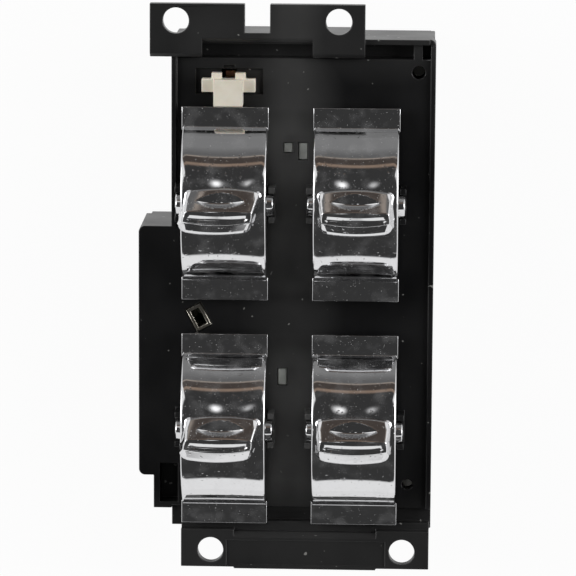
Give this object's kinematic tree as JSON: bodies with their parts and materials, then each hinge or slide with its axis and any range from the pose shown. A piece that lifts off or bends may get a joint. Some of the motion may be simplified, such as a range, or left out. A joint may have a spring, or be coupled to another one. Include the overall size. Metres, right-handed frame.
{
  "type": "power window switch",
  "caption": "Flat black switch module with screw lugs at both ends, plated rocker keys with finger pulls, an ivory lockout slide and a connector socket in the back.",
  "frame": {"origin": "middle of the overall box, on the flat back face of the rear case", "axes": "+X to the right and +Y towards the upper lugs, seen from the front; +Z out of the front, the way the keys face"},
  "size_m": [0.0662, 0.1288, 0.0443],
  "materials": {
    "black_plastic": "satin",
    "chrome": "polished",
    "ivory_plastic": "satin",
    "natural_nylon": "satin",
    "board": "satin",
    "light_pipe": "gloss",
    "sleeve_metal": "satin",
    "tinned_brass": "satin",
    "contact_silver": "satin",
    "copper": "satin",
    "spring_steel": "satin",
    "zinc_steel": "satin"
  },
  "bodies": {
    "housing": {"front_housing": "black_plastic", "rear_case": "black_plastic", "circuit_board": "board", "contact_frame": "natural_nylon", "pin_header": "black_plastic", "connector_blades": "tinned_brass", "case_screws": "zinc_steel", "fulcrum_terminals": "tinned_brass", "fixed_contacts": "contact_silver", "upper_light_pipe": "light_pipe", "lower_light_pipe": "light_pipe", "lamp_sleeve": "sleeve_metal", "board_lamps": "light_pipe"},
    "key_rear_left": {"key_rear_left": "chrome", "return_spring_rear_left": "spring_steel"},
    "plunger_rear_left": {"plunger_rear_left": "natural_nylon"},
    "contact_rear_left": {"rocking_contact_rear_left": "copper"},
    "key_rear_right": {"key_rear_right": "chrome", "return_spring_rear_right": "spring_steel"},
    "plunger_rear_right": {"plunger_rear_right": "natural_nylon"},
    "contact_rear_right": {"rocking_contact_rear_right": "copper"},
    "key_front_left": {"key_front_left": "chrome", "return_spring_front_left": "spring_steel"},
    "plunger_front_left": {"plunger_front_left": "natural_nylon"},
    "contact_front_left": {"rocking_contact_front_left": "copper"},
    "key_front_right": {"key_front_right": "chrome", "return_spring_front_right": "spring_steel"},
    "plunger_front_right": {"plunger_front_right": "natural_nylon"},
    "contact_front_right": {"rocking_contact_front_right": "copper"},
    "lockout": {"lock_slide": "ivory_plastic", "lock_wiper": "copper"}
  },
  "joints": [
    {"name": "key_rear_left_hinge", "type": "hinge", "parent": "housing", "child": "key_rear_left", "pos_m": [-0.01355, 0.01965, 0.0316], "axis": [1, 0, 0], "range_deg": [-5.5, 5.5], "stiffness_Nm_per_rad": 0.4},
    {"name": "plunger_rear_left_slide", "type": "slide", "parent": "key_rear_left", "child": "plunger_rear_left", "axis": [0, 0, 1], "range_m": [0, 0.0005], "stiffness_N_per_m": 400, "deforming": ["return_spring_rear_left"]},
    {"name": "contact_rear_left_hinge", "type": "hinge", "parent": "housing", "child": "contact_rear_left", "pos_m": [-0.01355, 0.01965, 0.0172], "axis": [1, 0, 0], "range_deg": [-6.88, 6.88]},
    {"name": "key_rear_right_hinge", "type": "hinge", "parent": "housing", "child": "key_rear_right", "pos_m": [0.01575, 0.01965, 0.0316], "axis": [1, 0, 0], "range_deg": [-5.5, 5.5], "stiffness_Nm_per_rad": 0.4},
    {"name": "plunger_rear_right_slide", "type": "slide", "parent": "key_rear_right", "child": "plunger_rear_right", "axis": [0, 0, 1], "range_m": [0, 0.0005], "stiffness_N_per_m": 400, "deforming": ["return_spring_rear_right"]},
    {"name": "contact_rear_right_hinge", "type": "hinge", "parent": "housing", "child": "contact_rear_right", "pos_m": [0.01575, 0.01965, 0.0172], "axis": [1, 0, 0], "range_deg": [-6.88, 6.88]},
    {"name": "key_front_left_hinge", "type": "hinge", "parent": "housing", "child": "key_front_left", "pos_m": [-0.01355, -0.03175, 0.0316], "axis": [1, 0, 0], "range_deg": [-5.5, 5.5], "stiffness_Nm_per_rad": 0.4},
    {"name": "plunger_front_left_slide", "type": "slide", "parent": "key_front_left", "child": "plunger_front_left", "axis": [0, 0, 1], "range_m": [0, 0.0005], "stiffness_N_per_m": 400, "deforming": ["return_spring_front_left"]},
    {"name": "contact_front_left_hinge", "type": "hinge", "parent": "housing", "child": "contact_front_left", "pos_m": [-0.01355, -0.03175, 0.0172], "axis": [1, 0, 0], "range_deg": [-6.88, 6.88]},
    {"name": "key_front_right_hinge", "type": "hinge", "parent": "housing", "child": "key_front_right", "pos_m": [0.01575, -0.03175, 0.0316], "axis": [1, 0, 0], "range_deg": [-5.5, 5.5], "stiffness_Nm_per_rad": 0.4},
    {"name": "plunger_front_right_slide", "type": "slide", "parent": "key_front_right", "child": "plunger_front_right", "axis": [0, 0, 1], "range_m": [0, 0.0005], "stiffness_N_per_m": 400, "deforming": ["return_spring_front_right"]},
    {"name": "contact_front_right_hinge", "type": "hinge", "parent": "housing", "child": "contact_front_right", "pos_m": [0.01575, -0.03175, 0.0172], "axis": [1, 0, 0], "range_deg": [-6.88, 6.88]},
    {"name": "lock_slide_travel", "type": "slide", "parent": "housing", "child": "lockout", "axis": [0, 1, 0], "range_m": [0, 0.0022]}
  ],
  "couplings": [
    {"joint": "contact_rear_left_hinge", "follows": "key_rear_left_hinge", "ratio": -1.25},
    {"joint": "contact_rear_right_hinge", "follows": "key_rear_right_hinge", "ratio": -1.25},
    {"joint": "contact_front_left_hinge", "follows": "key_front_left_hinge", "ratio": -1.25},
    {"joint": "contact_front_right_hinge", "follows": "key_front_right_hinge", "ratio": -1.25}
  ]
}
